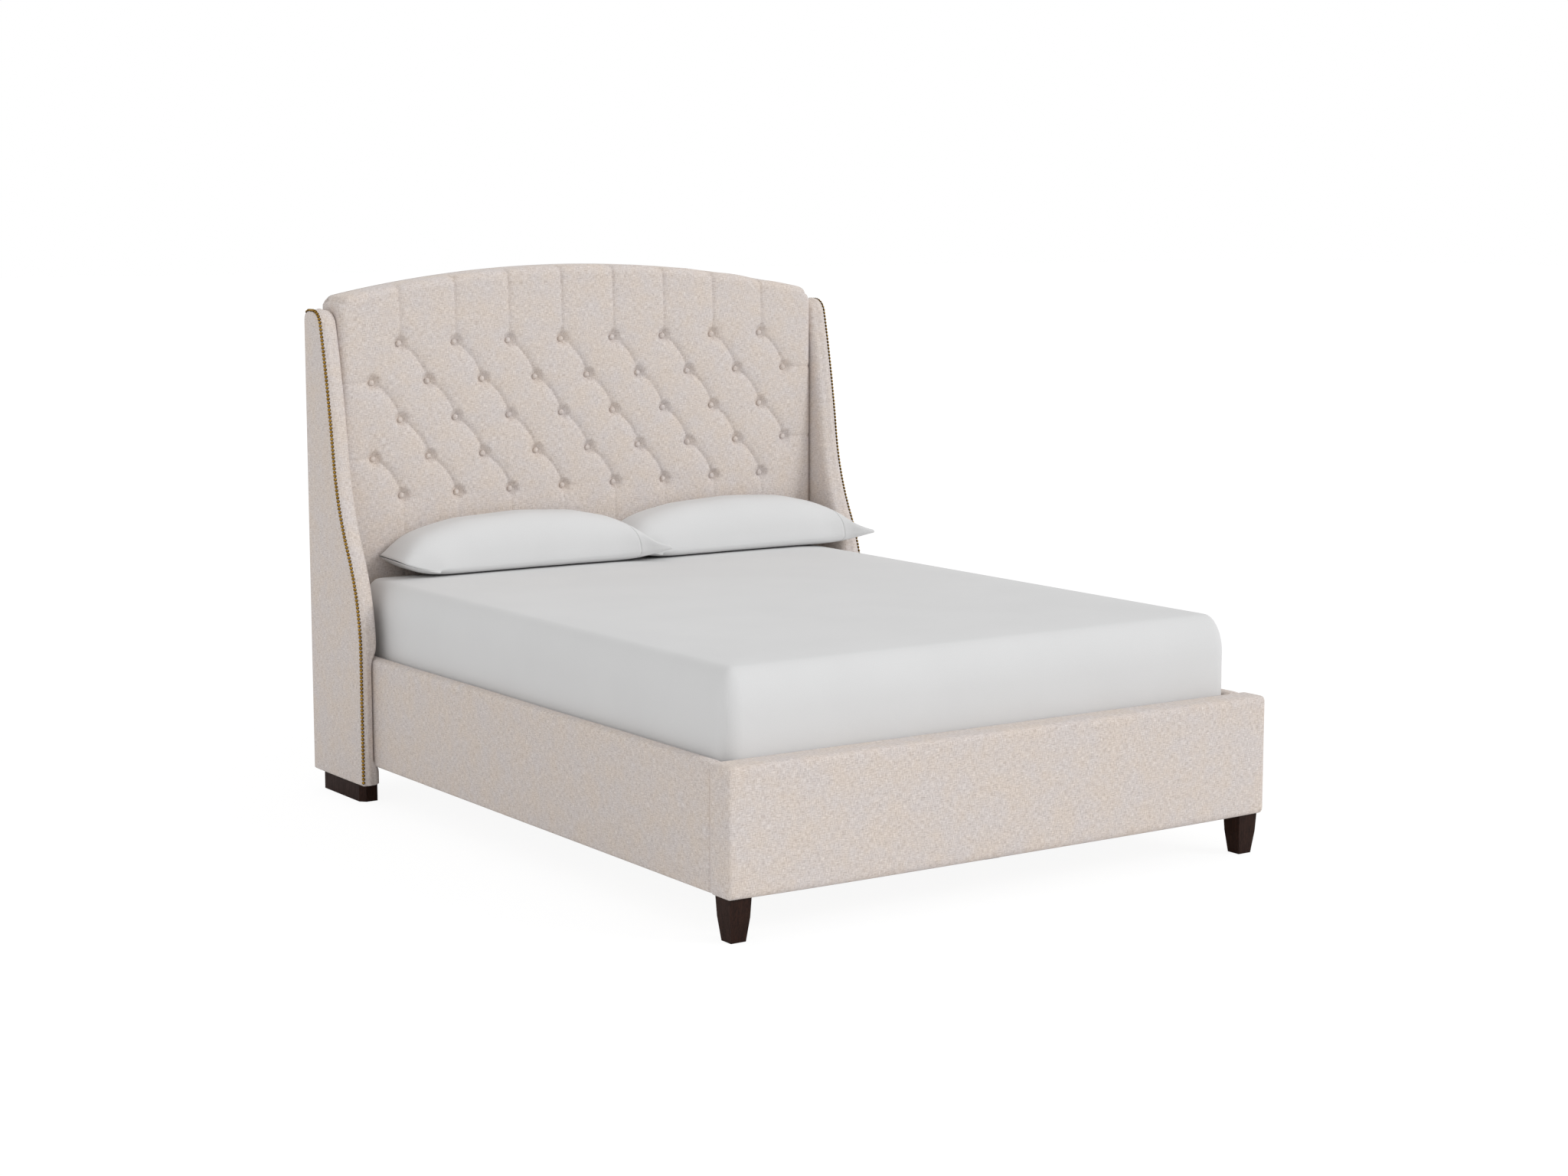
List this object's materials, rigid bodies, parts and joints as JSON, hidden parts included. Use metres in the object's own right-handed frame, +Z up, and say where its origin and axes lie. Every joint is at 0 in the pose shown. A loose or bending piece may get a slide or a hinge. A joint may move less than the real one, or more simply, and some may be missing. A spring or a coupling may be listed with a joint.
{
  "type": "wingback bed",
  "caption": "Upholstered wingback bed with a deep buttoned arched headboard, flared nailed wings, padded rails, tapered dark feet, mattress, sheet and pillows.",
  "frame": {"origin": "on the floor under the middle of the bed's outline", "axes": "+X to the right as seen from the foot, +Y from foot to headboard, +Z up"},
  "size_m": [1.8, 2.242, 1.5608],
  "materials": {
    "linen_cover": "slubby woven linen",
    "sheet_cotton": "smooth cotton percale",
    "pillow_ticking": "plain cotton",
    "mattress_ticking": "knitted ticking",
    "webbing": "woven tape",
    "espresso_wood": "dark stained, satin",
    "pine": "planed softwood and ply",
    "zinc_steel": "zinc plated",
    "glide_nylon": "moulded nylon"
  },
  "bodies": {
    "bed_frame": {"bracket_bolts": "zinc_steel", "centre_rail": "pine", "centre_rail_hangers": "zinc_steel", "foot_studs": "zinc_steel", "footboard_back_board": "pine", "footboard_cover": "linen_cover", "footboard_front_board": "pine", "footboard_spacers": "pine", "front_centre_leg": "pine", "headboard_back_cover": "linen_cover", "headboard_buttons": "linen_cover", "headboard_lower_board": "pine", "headboard_middle_rail": "pine", "headboard_pad": "linen_cover", "headboard_panel": "pine", "headboard_top_rail": "pine", "left_foot_bracket": "zinc_steel", "left_front_foot": "espresso_wood", "left_head_bracket": "zinc_steel", "left_post": "pine", "left_rail_board": "pine", "left_rail_cover": "linen_cover", "left_slat_cleat": "pine", "left_wing_cover": "linen_cover", "left_wing_foot": "espresso_wood", "left_wing_frame": "pine", "middle_centre_leg": "pine", "rear_centre_leg": "pine", "right_foot_bracket": "zinc_steel", "right_front_foot": "espresso_wood", "right_head_bracket": "zinc_steel", "right_post": "pine", "right_rail_board": "pine", "right_rail_cover": "linen_cover", "right_slat_cleat": "pine", "right_wing_cover": "linen_cover", "right_wing_foot": "espresso_wood", "right_wing_frame": "pine", "slat_01": "pine", "slat_02": "pine", "slat_03": "pine", "slat_04": "pine", "slat_05": "pine", "slat_06": "pine", "slat_07": "pine", "slat_08": "pine", "slat_09": "pine", "slat_10": "pine", "slat_webbing": "webbing", "wing_bolts": "zinc_steel"},
    "foundation": {"foundation": "mattress_ticking"},
    "mattress": {"mattress": "mattress_ticking", "fitted_sheet": "sheet_cotton"},
    "left_pillow": {"left_pillow": "pillow_ticking", "left_pillowcase": "sheet_cotton"},
    "right_pillow": {"right_pillow": "pillow_ticking", "right_pillowcase": "sheet_cotton"},
    "front_glide": {"front_glide": "glide_nylon"},
    "middle_glide": {"middle_glide": "glide_nylon"},
    "rear_glide": {"rear_glide": "glide_nylon"}
  },
  "joints": [
    {"name": "foundation_lift", "type": "slide", "parent": "bed_frame", "child": "foundation", "axis": [0, 0, 1], "range_m": [0, 0.35]},
    {"name": "mattress_lift", "type": "slide", "parent": "foundation", "child": "mattress", "axis": [0, 0, 1], "range_m": [0, 0.3]},
    {"name": "left_pillow_lift", "type": "slide", "parent": "mattress", "child": "left_pillow", "axis": [0, 0, 1], "range_m": [0, 0.25]},
    {"name": "right_pillow_lift", "type": "slide", "parent": "mattress", "child": "right_pillow", "axis": [0, 0, 1], "range_m": [0, 0.25]},
    {"name": "front_glide_turn", "type": "hinge", "parent": "bed_frame", "child": "front_glide", "pos_m": [0, -0.6182, 0.004], "axis": [0, 0, 1], "range_deg": [-180, 180]},
    {"name": "middle_glide_turn", "type": "hinge", "parent": "bed_frame", "child": "middle_glide", "pos_m": [0, -0.0005, 0.004], "axis": [0, 0, 1], "range_deg": [-180, 180]},
    {"name": "rear_glide_turn", "type": "hinge", "parent": "bed_frame", "child": "rear_glide", "pos_m": [0, 0.6172, 0.004], "axis": [0, 0, 1], "range_deg": [-180, 180]}
  ]
}
